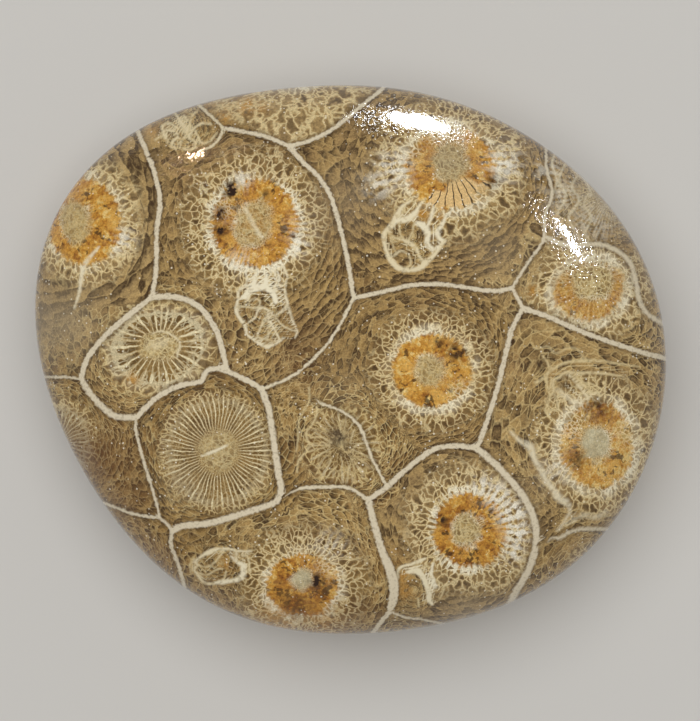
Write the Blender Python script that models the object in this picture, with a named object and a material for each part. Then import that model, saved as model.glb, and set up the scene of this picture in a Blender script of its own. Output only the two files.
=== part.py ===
"""Polished fossil coral head: one free-form stone, in metres, +Z up.

It has a domed top, rounded flanks and, where it was cut off its bed, a ground flat to rest on. The origin
is the middle of the stone's box, at the base.
"""

import math

import bmesh
import bpy
from mathutils import Vector

# Driving dimensions, in metres.
MEAN_RADIUS = 0.03272  # of the outline, seen from above
DOME_HEIGHT = 0.0130  # from the widest line up to the crown
FLANK_HEIGHT = 0.0120  # from the base up to the widest line

# The hand-ground outline: (number of crests, how far they stand out, the first crest's azimuth in degrees).
OUTLINE_LOBES = (
    (2, 0.00245, 166),
    (3, 0.00063, 23),
    (4, 0.00049, 62),
    (5, 0.00019, 15),
    (6, 0.00007, 16),
)

# The profile: shares of the outline's radius, and how full each curve is (2 is an ellipse, more is boxier).
BASE_FLAT_SHARE = 0.50  # the ground flat's radius
DOME_FULLNESS = 2.25
FLANK_FULLNESS = 2.10
CROWN_SHIFT = Vector((0.0012, -0.0008))  # in metres, how far the crown lies from the outline's middle

# How finely the solid is faceted.
AROUND = 96
DOME_RINGS = 22
FLANK_RINGS = 15

STONE_COLOUR = (0.26, 0.19, 0.10, 1.0)
STONE_ROUGHNESS = 0.14


def clear_scene():
    for obj in list(bpy.data.objects):
        bpy.data.objects.remove(obj)


def quarter(steps, fullness):
    """Points of a quarter of a superellipse, from (0, 1) to (1, 0)."""
    angles = (math.pi / 2 * step / steps for step in range(steps + 1))
    power = 2 / fullness
    return [(math.sin(a) ** power, max(math.cos(a), 0.0) ** power) for a in angles]


def profile():
    """(share of the outline's radius, height) from the crown down to the edge of the base flat."""
    dome = [
        (share, FLANK_HEIGHT + DOME_HEIGHT * height)
        for share, height in quarter(DOME_RINGS, DOME_FULLNESS)
    ]
    dome[-1] = (1.0, FLANK_HEIGHT)
    round_share = 1 - BASE_FLAT_SHARE
    flank = [
        (BASE_FLAT_SHARE + round_share * share, FLANK_HEIGHT * (1 - height))
        for share, height in quarter(FLANK_RINGS, FLANK_FULLNESS)
    ]
    flank[-1] = (1.0, FLANK_HEIGHT)
    return dome + flank[-2::-1]


def outline_radius(azimuth, share):
    """The outline's radius. The lobes fade towards the crown and the base, whose contours are rounder."""
    lobes = sum(
        height * share**count * math.cos(count * (azimuth - math.radians(crest)))
        for count, height, crest in OUTLINE_LOBES
    )
    return MEAN_RADIUS + lobes


def on_the_stone(co):
    """Where a point of the turned profile, whose radius is a share from 0 to 1, lies on the stone."""
    radius = outline_radius(math.atan2(co.y, co.x), co.xy.length)
    rise = max(co.z - FLANK_HEIGHT, 0.0) / DOME_HEIGHT
    plan = co.xy * radius + CROWN_SHIFT * rise**2
    return plan.to_3d() + Vector((0, 0, co.z))


def coral_head_mesh():
    bm = bmesh.new()
    line = [bm.verts.new((share, 0, height)) for share, height in profile()]
    edges = [bm.edges.new(pair) for pair in zip(line, line[1:])]
    bmesh.ops.spin(
        bm,
        geom=line + edges,
        axis=(0, 0, 1),
        cent=(0, 0, 0),
        angle=2 * math.pi,
        steps=AROUND,
        use_merge=True,
    )
    bmesh.ops.remove_doubles(bm, verts=bm.verts, dist=1e-7)
    for vert in bm.verts:
        vert.co = on_the_stone(vert.co)
    rim = [edge for edge in bm.edges if edge.is_boundary]
    bmesh.ops.contextual_create(bm, geom=rim)
    bmesh.ops.recalc_face_normals(bm, faces=bm.faces)
    centre_on_origin(bm)
    mesh = bpy.data.meshes.new("fossil_coral_head")
    bm.to_mesh(mesh)
    bm.free()
    return mesh


def centre_on_origin(bm):
    """Puts the middle of the stone's box on the Z axis."""
    for axis in (0, 1):
        places = [vert.co[axis] for vert in bm.verts]
        offset = Vector((0, 0, 0))
        offset[axis] = -(min(places) + max(places)) / 2
        bmesh.ops.translate(bm, vec=offset, verts=bm.verts)


def polished_stone():
    material = bpy.data.materials.new("polished_fossil_coral")
    material.use_nodes = True
    shader = material.node_tree.nodes["Principled BSDF"]
    shader.inputs["Base Color"].default_value = STONE_COLOUR
    shader.inputs["Roughness"].default_value = STONE_ROUGHNESS
    shader.inputs["Metallic"].default_value = 0.0
    return material


def build():
    clear_scene()
    mesh = coral_head_mesh()
    mesh.shade_smooth()
    mesh.materials.append(polished_stone())
    stone = bpy.data.objects.new("fossil_coral_head", mesh)
    bpy.context.scene.collection.objects.link(stone)


build()
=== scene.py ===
"""Looks of the polished fossil coral head.

The corallites, their walls and their fillings are one flush, polished surface. They are laid out on a plan
of the stone seen from straight above, and run down through it as the coral's columns did, so the flanks
and the base show the same columns cut again.
"""

import math
from functools import partial
from types import SimpleNamespace

import bmesh
import bpy
import numpy as np
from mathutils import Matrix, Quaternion, Vector
from mathutils.kdtree import KDTree


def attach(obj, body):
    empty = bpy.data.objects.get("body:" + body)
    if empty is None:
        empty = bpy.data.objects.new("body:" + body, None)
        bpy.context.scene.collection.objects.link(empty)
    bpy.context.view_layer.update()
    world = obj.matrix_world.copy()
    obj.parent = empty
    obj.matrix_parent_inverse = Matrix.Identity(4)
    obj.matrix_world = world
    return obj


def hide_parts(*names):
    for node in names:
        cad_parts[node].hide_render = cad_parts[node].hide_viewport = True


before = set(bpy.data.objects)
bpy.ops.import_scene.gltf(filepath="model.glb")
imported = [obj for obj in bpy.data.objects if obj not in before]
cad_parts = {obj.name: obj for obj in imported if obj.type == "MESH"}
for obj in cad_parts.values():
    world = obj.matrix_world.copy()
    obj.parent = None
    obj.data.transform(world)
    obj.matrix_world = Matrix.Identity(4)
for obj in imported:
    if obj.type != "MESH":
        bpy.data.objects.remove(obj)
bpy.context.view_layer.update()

# ---------------------------------------------------------------------------------------------------
# The stone's size and form, in metres
# ---------------------------------------------------------------------------------------------------
MEAN_RADIUS = 0.03272
DOME_HEIGHT = 0.0130
FLANK_HEIGHT = 0.0120
OUTLINE_LOBES = (
    (2, 0.00245, 166),
    (3, 0.00063, 23),
    (4, 0.00049, 62),
    (5, 0.00019, 15),
    (6, 0.00007, 16),
)
BASE_FLAT_SHARE = 0.50
DOME_FULLNESS = 2.25
FLANK_FULLNESS = 2.10
CROWN_SHIFT = (0.0012, -0.0008)
SHEET_CUTS = 220  # faces along each side of the two sheets that the fine surface is made from
STEEP_SHARE = 0.55  # how many faces the sheets' steep stretches get, against flat ones

# ---------------------------------------------------------------------------------------------------
# The plan: 700 by 721 steps seen from straight above, x to the right and y down
# ---------------------------------------------------------------------------------------------------
STEPS_PER_METRE = 9014.0  # at the stone's widest line
PLAN_WIDE, PLAN_HIGH = 700, 721
PLAN_MIDDLE = (350.5, 359.5)  # where the stone's own middle lies
LENS = 135.0  # mm
SENSOR = 36.0  # mm
FOCAL_STEPS = LENS / SENSOR * PLAN_WIDE
LAYER_HEIGHT = 7.0  # how thick a layer of bubbles is, in steps
LAYER_GAP = 55.0  # the gap between ring and wall at which it's that thick
# How the columns lean below the widest line, along x and then y: sway, its length, its start and a shift.
COLUMN_LEAN = ((16, 62, 1, -8), (14, 55, 2, 6))
EYE_DISTANCE = FOCAL_STEPS / STEPS_PER_METRE
EYE = Vector(
    (
        (PLAN_WIDE / 2 - PLAN_MIDDLE[0]) / STEPS_PER_METRE,
        (PLAN_MIDDLE[1] - PLAN_HIGH / 2) / STEPS_PER_METRE,
        FLANK_HEIGHT + EYE_DISTANCE,
    )
)

# Where walls meet, in plan steps.
MEETS = {
    "west_top": (152, 297), "west_right": (227, 371), "west_left": (81, 379), "west_low": (136, 418),
    "septate_corner": (262, 389), "septate_low_right": (172, 531), "septate_low_left": (160, 518),
    "middle_left": (353.5, 298), "north_fork": (288, 146), "bud_fork": (222, 128), "east_fork": (512, 288),
    "east_low": (523, 308), "south_east": (477, 448), "south_mid": (387, 487), "south_top": (368, 500),
    "south_low": (390, 611),
}
# Walls between corallites: half their width, how cream, how solid and how blurred they are, then the places
# that they pass on the plan, which are where walls meet or (x, y, share of the width). The open ones can't be
# seen: they close a gap through which a corallite would grow.
WALLS = {
    "west": (3.1, 0, 1, 0, [(128, 108), (138, 132), (153.5, 170), (160, 201), (157, 229), (156, 269),
        "west_top"]),
    "west_over": (3.6, 0, 1, 0, ["west_top", (176, 297), (198, 306), (215, 328), (223, 353), "west_right"]),
    "west_down": (3.4, 0, 1, 0, ["west_top", (134, 311), (106, 335), (87, 359), "west_left"]),
    "west_rim": (2.0, 0, 0.9, 0, ["west_left", (66, 377), (48, 377), (0, 377)]),
    "small_west_low": (3.8, 0, 1, 0.5, ["west_left", (93, 397), (113, 415), "west_low"]),
    "septate_top": (3.3, 0, 1, 0, ["west_low", (156, 398), (179, 386), (200, 381.5), (206, 372),
        (215, 368.5), "west_right"]),
    "septate_over": (3.4, 0, 1, 0, ["west_right", (247, 380.5), "septate_corner"]),
    "septate_right": (4.0, 0, 1, 0.3, ["septate_corner", (269, 411), (273, 437), (278, 472), (281, 490),
        (275, 502), (254, 510), (212, 522.5), (183, 526), "septate_low_right"]),
    "low_left_down": (2.6, 0, 0.95, 0, ["septate_low_right", (171, 545), (177, 561), (184, 585),
        (196, 640)]),
    "septate_left": (2.2, 0, 0.95, 0, ["west_low", (136, 432), (144, 462), (154, 494), "septate_low_left"]),
    "low_left_join": (2.3, 0, 0.95, 0, ["septate_low_left", (166, 523), "septate_low_right"]),
    "low_left_rim": (2.2, 0, 0.95, 0, ["septate_low_left", (134, 514), (106, 504), (60, 490)]),
    "heart": (2.2, 0.2, 1, 0, ["septate_corner", (294, 375), (321, 351), (337, 330), "middle_left"]),
    "north_side": (3.0, 0, 1, 0, ["middle_left", (350, 275), (344, 243), (333, 203), (321, 180), (304, 163),
        "north_fork"]),
    "north_west": (2.8, 0, 1, 0, ["north_fork", (267, 137), (246, 132), "bud_fork"]),
    "north_rim": (2.7, 0, 1, 0, ["north_fork", (306, 142), (326, 133), (346, 119), (366, 102), (381, 90),
        (410, 60)]),
    "top_bud": (2.2, 0.6, 0.9, 0, [(185, 92), (201, 107), (214, 119), "bud_fork", (220, 137), (213, 145),
        (204, 150, 0.7), (196, 152, 0.1)]),
    "middle_top": (2.8, 0, 1, 0, ["middle_left", (382, 292), (410, 285.4), (438, 284), (466, 287.5),
        (494, 291), "east_fork"]),
    "east_side": (2.2, 0, 0.95, 0, ["east_fork", (527, 264), (543, 240), (545, 215), (552, 194), (547, 170),
        (546, 150), (546, 90)]),
    "east_short": (2.6, 0, 1, 0, ["east_fork", "east_low"]),
    "east_rim": (3.2, 0, 1, 0, ["east_low", (550, 317.5), (571, 327), (599, 338), (641, 352), (664, 358),
        (700, 366)]),
    "east_over": (3.0, 0.15, 0.9, 0.6, [(545, 236), (557, 242.5), (575, 246), (597, 244), (616, 250),
        (630, 263), (636, 282), (639, 299), (646, 312), (660, 322), (700, 345)]),
    "middle_right": (3.2, 0, 1, 0, ["east_low", (512, 329), (506, 353), (498, 385), (490, 412), (481, 438),
        "south_east"]),
    "south_east_top": (3.3, 0, 1, 0, ["south_east", (452, 446), (431, 451), (403, 472), "south_mid",
        "south_top"]),
    "star_side": (2.0, 0.2, 1, 0, [(312, 395, 0.2), (320, 403, 0.7), (332, 407), (343, 412), (353, 419),
        (361, 429, 1.1), (366, 442, 1.1), (372, 458), (378, 470), "south_mid"]),
    "star_low": (2.4, 0.1, 1, 0, [(283, 498, 0.2), (292, 492, 0.6), (304, 488), (326, 487), (349, 488),
        "south_top"]),
    "south_right": (4.2, 0, 1, 0.2, ["south_top", (374, 523), (382, 551, 1.1), (391, 573, 1.35),
        (394, 592, 1.35), "south_low"]),
    "south_rim_left": (3.0, 0, 0.95, 0, ["south_low", (378, 626), (358, 655)]),
    "south_rim_right": (1.8, 0, 0.9, 0, ["south_low", (405, 617), (430, 621), (480, 632)]),
    "south_east_arc": (4.2, 0, 1, 0.4, ["south_east", (499, 468), (521, 493), (534, 519), (536, 545),
        (528, 571), (513, 597), (492, 640)]),
    "star_open": (0, 0, 0, 0, [(314, 397), (307, 384), (302, 368)]),
    "last_open": (0, 0, 0, 0, [(546, 544), (537, 546)]),
    "top_bud_open": (0, 0, 0, 0, [(196, 152), (172, 150), (152, 154)]),
    "last_rim": (2.6, 0.1, 0.85, 0.5, [(546, 543, 0.3), (552, 538, 0.6), (560, 538), (570, 532), (586, 529),
        (625, 530)]),
}
# Cream ribs, which stand apart from the walls. The same five things for each.
BUD_ONE_RIBS = [
    (1.4, 0.8, 0.9, 0.3, [(247, 283, 0.5), (239, 291), (238, 300), (236, 309, 1.3), (239, 317, 1.3),
        (245, 326), (247, 334), (254, 340), (263, 345, 1.3), (268, 347, 1.3), (280, 341, 0.7),
        (286, 337, 0.4)]),
    (1.2, 0.8, 0.9, 0.4, [(295, 338, 0.5), (297, 331, 0.8), (292, 319), (289, 308), (286, 298, 1.2),
        (285, 286), (288, 276, 0.6)]),
    (3.4, 1, 1, 0.5, [(245, 297, 0.8), (249, 291), (257, 288), (266, 288), (273, 293), (276, 302, 0.8)]),
    (2.4, 1, 1, 0.5, [(253, 288, 1.2), (255, 280), (256, 273, 0.4)]),
    (2.4, 1, 1, 0.5, [(266, 288, 1.2), (266, 280), (267, 272, 0.4)]),
    (1.3, 1, 0.9, 0.4, [(274, 293), (276, 282), (274, 270, 0.6)]),
    (1.3, 1, 0.9, 0.4, [(280, 289, 0.5), (280, 280), (277, 271, 0.6)]),
    (1.2, 1, 0.9, 0.4, [(247, 288), (247, 279), (245, 270, 0.5)]),
    (1.2, 0.8, 0.8, 0.4, [(288, 276), (284, 268), (283, 262, 0.5)]),
    (1.1, 0.7, 0.9, 0.3, [(248, 323, 0.6), (256, 316), (259, 308), (264, 308), (271, 312)]),
    (1.3, 0.7, 0.9, 0.3, [(271, 312), (267, 316), (272, 325), (277, 334), (280, 341)]),
    (1.0, 0.5, 0.8, 0.3, [(272, 314), (280, 323), (285, 327), (295, 331, 0.6)]),
    (0.9, 0.5, 0.8, 0.3, [(267, 318), (268, 330), (268, 345)]),
    (0.9, 0.5, 0.8, 0.3, [(264, 318), (260, 329), (257, 337), (267, 339), (275, 343)]),
    (0.9, 0.5, 0.8, 0.3, [(239, 306), (248, 307), (257, 308), (260, 302), (254, 298), (249, 302)]),
    (1.2, 0.7, 0.8, 0.3, [(276, 315, 0.5), (282, 311), (287, 305)]),
]
BUD_TWO_RIBS = [
    (2.1, 0.6, 0.95, 0.6, [(410, 201, 0.6), (402, 207), (397, 216, 1.5), (391, 226, 1.5), (384, 234),
        (385, 246, 0.9), (389, 257, 1.1), (396, 266, 1.5), (404, 270, 1.1), (413, 270), (421, 267, 1.4),
        (427, 262, 1.3), (434, 255), (440, 247), (446, 240, 0.6)]),
    (2.8, 0.8, 1, 0.8, [(396, 221), (407, 219, 1.2), (415, 213), (420, 205, 0.5)]),
    (3.1, 0.9, 1, 0.6, [(417, 223, 0.6), (425, 227, 1.4), (428, 235), (427, 244, 0.9), (433, 249, 0.8),
        (440, 246, 0.5)]),
    (1.7, 0.9, 0.9, 0.6, [(428, 225), (432, 214), (434, 205, 0.4)]),
    (2.2, 0.9, 1, 0.6, [(446, 216, 0.5), (441, 226), (437, 233, 1.1), (440, 239), (445, 241, 0.6)]),
    (1.9, 0.5, 0.9, 0.5, [(402, 239, 0.5), (409, 243, 1.3), (416, 248), (419, 256, 0.8), (423, 262)]),
    (1.1, 0.3, 0.8, 0.4, [(388, 233), (395, 238), (403, 240)]),
    (1.0, 0.5, 0.8, 0.4, [(393, 257), (400, 251), (406, 253)]),
    (0.8, 0.3, 0.8, 0.4, [(391, 240), (394, 249), (397, 254)]),
    (1.0, 0.3, 0.8, 0.4, [(409, 255), (411, 264), (406, 268)]),
    (1.0, 0.3, 0.8, 0.4, [(399, 224), (400, 233), (403, 239)]),
    (1.0, 0.3, 0.8, 0.4, [(414, 224), (412, 233), (408, 240)]),
]
BUD_THREE_RIBS = [
    (2.8, 0.8, 1, 0.5, [(407, 572, 0.6), (412, 571), (418, 571, 1.2), (423, 577, 1.1), (426, 584),
        (429, 593), (429, 600), (432, 604, 0.6)]),
    (2.3, 1, 1, 0.5, [(433, 564, 0.5), (431, 573, 0.7), (433, 580, 0.9), (435, 587, 1.3)]),
    (1.3, 0.7, 1, 0.3, [(398, 578, 0.8), (398, 570), (404, 566, 1.1), (412, 564), (420, 561, 1.4),
        (426, 558, 0.6)]),
    (0.9, 0.3, 0.8, 0.4, [(449, 583), (444, 586), (443, 592), (439, 600, 0.5)]),
    (0.9, 0.3, 0.8, 0.4, [(418, 599), (419, 607)]),
]
BUD_FOUR_RIBS = [
    (1.7, 0.7, 0.95, 0.5, [(194, 562, 0.5), (202, 556, 0.9), (210, 552, 1.6), (218, 549), (228, 549, 0.8),
        (240, 551, 0.6), (252, 551, 0.4)]),
    (2.5, 0.9, 1, 0.6, [(231, 556, 0.4), (237, 562, 0.7), (243, 566, 1.3), (244, 573, 1.4), (239, 579, 1.1),
        (230, 581, 0.8), (222, 582), (214, 583, 0.4)]),
    (1.2, 0.5, 0.95, 0.4, [(195, 561), (197, 566), (194, 569), (199, 577), (205, 583), (214, 584)]),
    (0.8, 0.2, 0.8, 0.4, [(194, 558), (190, 565), (191, 573, 0.6)]),
    (0.8, 0.4, 0.8, 0.4, [(197, 565), (206, 567), (214, 563), (220, 556), (224, 551)]),
    (0.8, 0.4, 0.8, 0.4, [(198, 573), (207, 575), (214, 571), (221, 568)]),
    (0.9, 0.4, 0.8, 0.4, [(226, 572), (224, 580)]),
    (1.0, 0.6, 0.8, 0.4, [(236, 552), (237, 561)]),
    (0.9, 0.4, 0.8, 0.4, [(242, 556), (247, 556), (249, 562), (249, 572)]),
]
TOP_BUD_RIBS = [
    (2.0, 0.5, 0.9, 0.6, [(161, 127, 0.5), (164, 132), (166, 139, 1.2), (168, 143, 0.5)]),
    (1.2, 0.4, 0.9, 0.4, [(161, 127), (168, 123), (176, 127), (183, 131), (189, 135)]),
    (1.3, 0.5, 0.9, 0.4, [(166, 130), (172, 131), (177, 133), (178, 137), (172, 142), (175, 148)]),
    (1.8, 0.5, 0.9, 0.5, [(175, 113, 0.6), (180, 121), (186, 128), (189, 136, 1.1), (190, 140, 0.5)]),
    (1.3, 0.4, 0.9, 0.4, [(184, 116), (189, 122), (190, 130), (190, 136)]),
    (0.9, 0.3, 0.9, 0.4, [(198, 110), (192, 116), (190, 123)]),
    (1.2, 0.5, 0.9, 0.4, [(192, 131), (197, 126), (203, 123), (211, 124)]),
    (1.2, 0.4, 0.9, 0.4, [(195, 131), (198, 137), (202, 143), (209, 142), (217, 133)]),
    (1.0, 0.4, 0.9, 0.4, [(190, 137), (184, 138), (180, 144), (184, 149), (194, 149), (195, 142),
        (190, 137)]),
    (0.9, 0.3, 0.8, 0.4, [(155, 140), (160, 137), (166, 140), (172, 148), (180, 149)]),
]
STAR_RIBS = [
    (0.7, 0.1, 0.6, 0.3, [(336, 417, 0.6), (340, 428), (344, 437, 0.6)]),
    (0.7, 0.1, 0.6, 0.3, [(343, 420), (345, 433)]),
    (0.8, 0.3, 0.7, 0.3, [(354, 430), (352, 436), (350, 443, 0.6)]),
    (0.8, 0.3, 0.7, 0.3, [(364, 443), (357, 445), (351, 451)]),
    (0.7, 0.1, 0.6, 0.3, [(368, 456), (358, 453), (346, 452), (342, 446), (341, 440)]),
    (0.7, 0.1, 0.6, 0.3, [(369, 469, 0.6), (361, 461), (353, 456)]),
    (0.7, 0.1, 0.6, 0.3, [(356, 482, 0.6), (354, 468), (351, 458)]),
    (0.8, 0.3, 0.7, 0.3, [(347, 483), (348, 472), (349, 465, 0.6)]),
    (0.7, 0.1, 0.6, 0.3, [(337, 480), (341, 470)]),
    (0.8, 0.2, 0.7, 0.3, [(326, 478), (331, 472), (337, 466, 0.6)]),
    (0.7, 0.1, 0.6, 0.3, [(323, 469), (328, 462), (333, 457, 0.6)]),
    (0.8, 0.3, 0.7, 0.3, [(307, 447), (319, 445), (331, 446, 0.6)]),
    (0.8, 0.3, 0.7, 0.3, [(314, 432, 0.6), (322, 437), (332, 443, 0.6)]),
    (0.7, 0.1, 0.6, 0.3, [(318, 423), (327, 432)]),
    (0.7, 0.1, 0.6, 0.3, [(330, 452), (322, 453), (318, 460), (320, 468)]),
    (0.8, 0.2, 0.7, 0.3, [(309, 388), (309, 402), (303, 412), (299, 421), (298, 440), (296, 452)]),
    (1.0, 0.2, 0.8, 0.4, [(317, 407), (316, 417), (311, 426), (306, 434), (309, 446), (303, 455),
        (298, 462), (297, 472)]),
]
LOOSE_RIBS = [
    (2.2, 0.7, 0.7, 1.2, [(246, 210), (252, 222), (261, 237)]),
    (2.0, 0.9, 0.8, 0.6, [(99, 247, 0.5), (91, 256), (84, 266, 1.2), (81, 280), (79, 294, 0.7),
        (74, 309, 0.3)]),
    (2.6, 1, 0.7, 1.6, [(511, 432, 0.3), (520, 441, 0.7), (530, 447, 1.6), (534, 458), (540, 468, 1.1),
        (546, 480), (552, 488), (559, 498, 1.6), (567, 503, 1.2), (570, 511, 0.5), (564, 522, 0.4),
        (557, 531, 0.2)]),
    (2.4, 0.9, 0.5, 1.8, [(572, 520, 0.5), (584, 515), (596, 517), (606, 512)]),
    (1.0, 0.4, 0.9, 0.3, [(563, 527), (569, 524), (576, 521)]),
    (1.6, 1, 0.8, 0.3, [(202, 456, 0.6), (215, 451), (228, 445, 0.6)]),
]
SCALES_RIBS = [
    (1.4, 0.2, 0.8, 0.5, [(640, 367, 0.4), (600, 361), (584, 361, 1.3), (569, 362), (558, 366), (549, 372),
        (542, 379), (535, 383)]),
    (1.3, 0.3, 0.8, 0.5, [(625, 377, 0.4), (600, 373), (576, 373), (566, 372), (559, 377), (553, 381),
        (555, 390), (566, 400)]),
    (3.4, 0.8, 0.6, 1.8, [(557, 390, 0.5), (567, 397), (577, 405, 0.8)]),
    (2.0, 0.5, 0.85, 0.6, [(569, 375, 0.5), (577, 383), (583, 391), (589, 399, 0.7)]),
    (1.0, 0.2, 0.8, 0.4, [(574, 376), (583, 382), (592, 384), (606, 392)]),
    (1.0, 0.2, 0.8, 0.4, [(583, 384), (590, 391), (601, 396)]),
    (1.0, 0.2, 0.5, 0.5, [(534, 348), (542, 348), (548, 346), (554, 353), (561, 352), (568, 348),
        (577, 349), (583, 356), (589, 360)]),
    (1.0, 0.2, 0.8, 0.4, [(543, 356), (548, 364), (549, 371)]),
    (1.0, 0.2, 0.8, 0.4, [(547, 376), (547, 386), (550, 396), (548, 404), (545, 411), (550, 417)]),
    (1.0, 0.3, 0.8, 0.4, [(552, 386), (556, 398), (559, 411)]),
]
FEATHERS_RIBS = [
    (1.3, 0.9, 0.7, 0.6, [(557, 148, 0.5), (552, 164), (557, 180), (551, 200, 0.5)]),
    (1.2, 0.8, 0.7, 0.6, [(567, 160, 0.5), (559, 180), (566, 196), (557, 214, 0.5)]),
    (1.3, 0.9, 0.6, 0.6, [(582, 170, 0.5), (572, 186), (579, 200), (569, 216), (574, 230, 0.5)]),
    (1.1, 0.7, 0.6, 0.6, [(594, 186, 0.5), (584, 203), (591, 218), (584, 234, 0.5)]),
    (1.1, 0.9, 0.6, 0.6, [(562, 156, 0.5), (574, 170), (586, 182), (592, 196, 0.5)]),
]
SMALL_WEST_RIBS = [
    (5.0, 0.5, 0.55, 3.0, [(150, 346, 0.8), (158, 345), (166, 341, 0.7)]),
    (1.0, 0.6, 0.85, 0.4, [(152, 334, 0.6), (160, 331), (168, 333), (176, 338), (180, 344), (178, 352),
        (177, 358, 0.6)]),
]
RIBS = [*BUD_ONE_RIBS, *BUD_TWO_RIBS, *BUD_THREE_RIBS, *BUD_FOUR_RIBS, *TOP_BUD_RIBS, *STAR_RIBS,
    *LOOSE_RIBS, *SCALES_RIBS, *FEATHERS_RIBS, *SMALL_WEST_RIBS]


def bud(x, y, **other):
    """A small corallite without a ring."""
    return dict(core=(x, y, 1.5, 1.5), ring=(x, y, 3, 3), count=24, bubble=0.55, reach=1, **other)


# What a corallite is like where its own row doesn't say it: its lean in degrees, how rusty, frilled and
# septate it is, how pale its ground, how toothed its frill and how smooth its core are, how large its bubbles
# are, how golden its rust is and how many lines its bubbles have.
CORALLITE = dict(
    lean=0, rust=0, frill=0, septa=0, pale=0, teeth=0.3, smooth=0.3, bubble=1, gold=0, lines=0.5
)
# Each has a core and a ring round it (the middle's x and y, then two radii) and a count of septa. Some say
# how far the fine net reaches, and some how far the corallite grows at most.
CORALLITES = {
    "west": dict(core=(75, 222, 15, 20), ring=(85, 222, 37, 45), rust=1, frill=0.7, count=40, pale=1,
        teeth=0.7, smooth=0.6, bubble=1.35, gold=0.2, lines=0.1),
    "northwest": dict(core=(253, 224, 18, 23), ring=(255, 223, 44, 46), lean=20, rust=1, frill=1, count=48,
        pale=0.35, teeth=0.8, smooth=0.15, bubble=0.7, reach=34, lines=0.3),
    "north": dict(core=(450, 163, 17, 17), ring=(451, 168, 47, 42), rust=1, frill=0.8, count=40, pale=0.55,
        teeth=0.5, smooth=0.1, bubble=0.7, reach=36, gold=0.1, lines=0.15),
    "east": dict(core=(593, 283, 20, 17), ring=(589, 290, 37, 31), lean=-15, rust=0.7, frill=1, septa=0.7,
        count=36, pale=0.8, smooth=0.0, bubble=0.7, gold=0.1, lines=0.8),
    "middle": dict(core=(429, 370, 14, 15), ring=(432, 370.5, 41, 38), rust=1, frill=0.65, count=44,
        pale=0.2, teeth=0.15, smooth=0.5, bubble=0.6, reach=26, gold=0.45, lines=0.35),
    "southeast": dict(core=(595, 444, 15, 17), ring=(597, 445, 38, 45), rust=0.9, frill=0.8, count=40,
        pale=0.6, teeth=0.2, smooth=1, bubble=0.9, reach=32, gold=0.9, lines=0.7),
    "south_right": dict(core=(467, 530, 15, 16), ring=(470, 530, 38, 38), rust=1, frill=1, count=40,
        pale=0.8, teeth=1.0, smooth=0.2, bubble=0.8, reach=34, lines=0.3),
    "south": dict(core=(302, 580, 10, 10), ring=(303, 585, 37, 32), rust=1, frill=0.95, count=40, pale=0.2,
        teeth=0.6, smooth=1, bubble=0.7, reach=34, gold=0.1, lines=0.8),
    "small_west": dict(core=(160, 346, 20, 14), ring=(158, 348, 46, 37), lean=-12, frill=0.3, septa=1,
        count=28, pale=0.4, smooth=0.1, bubble=0.6, lines=0.7),
    "septate": dict(core=(218, 451, 19, 21), ring=(217, 452, 50, 52), frill=0.1, septa=0.9, count=60,
        smooth=0.25, bubble=0.6, lines=0.3),
    "star": dict(core=(341, 443, 7, 7), ring=(344, 447, 33, 34), septa=0.45, count=24, smooth=0.4,
        bubble=0.5, lines=0.8),
    "rim_low_left": dict(core=(58, 442, 8, 12), ring=(62, 442, 26, 34), frill=0.2, septa=0.7, count=34,
        bubble=0.6, lines=0.6),
    "top": dict(core=(296, 66, 10, 10), ring=(296, 66, 24, 20), frill=0.8, count=20, pale=1, bubble=1.2,
        reach=80, lines=0.6),
    "upper_right": dict(core=(612, 190, 8, 8), ring=(612, 190, 20, 20), frill=0.2, count=64, pale=0.3,
        bubble=0.6),
    "low_right": dict(core=(600, 572, 8, 8), ring=(600, 572, 20, 20), frill=0.3, count=24, pale=0.4,
        bubble=0.8, lines=0.8),
    "low_left": dict(core=(110, 570, 8, 8), ring=(110, 570, 20, 20), rust=0.3, frill=0.2, count=24,
        bubble=0.6, lines=0.7),
    "bottom": dict(core=(404, 650, 8, 8), ring=(404, 650, 14, 14), count=20, pale=0.2, bubble=0.7,
        lines=0.7),
    "top_bud": bud(188, 128, pale=0.5, limit=34),
    "bud_one": bud(264, 312, pale=0.2, lines=0.35, limit=30),
    "bud_two": bud(412, 236, pale=0.2, lines=0.35, limit=30),
    "bud_three": bud(414, 590, pale=0.5, lines=0.35, limit=20),
    "bud_four": bud(220, 562, pale=0.2, lines=0.35, limit=26),
}

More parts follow.
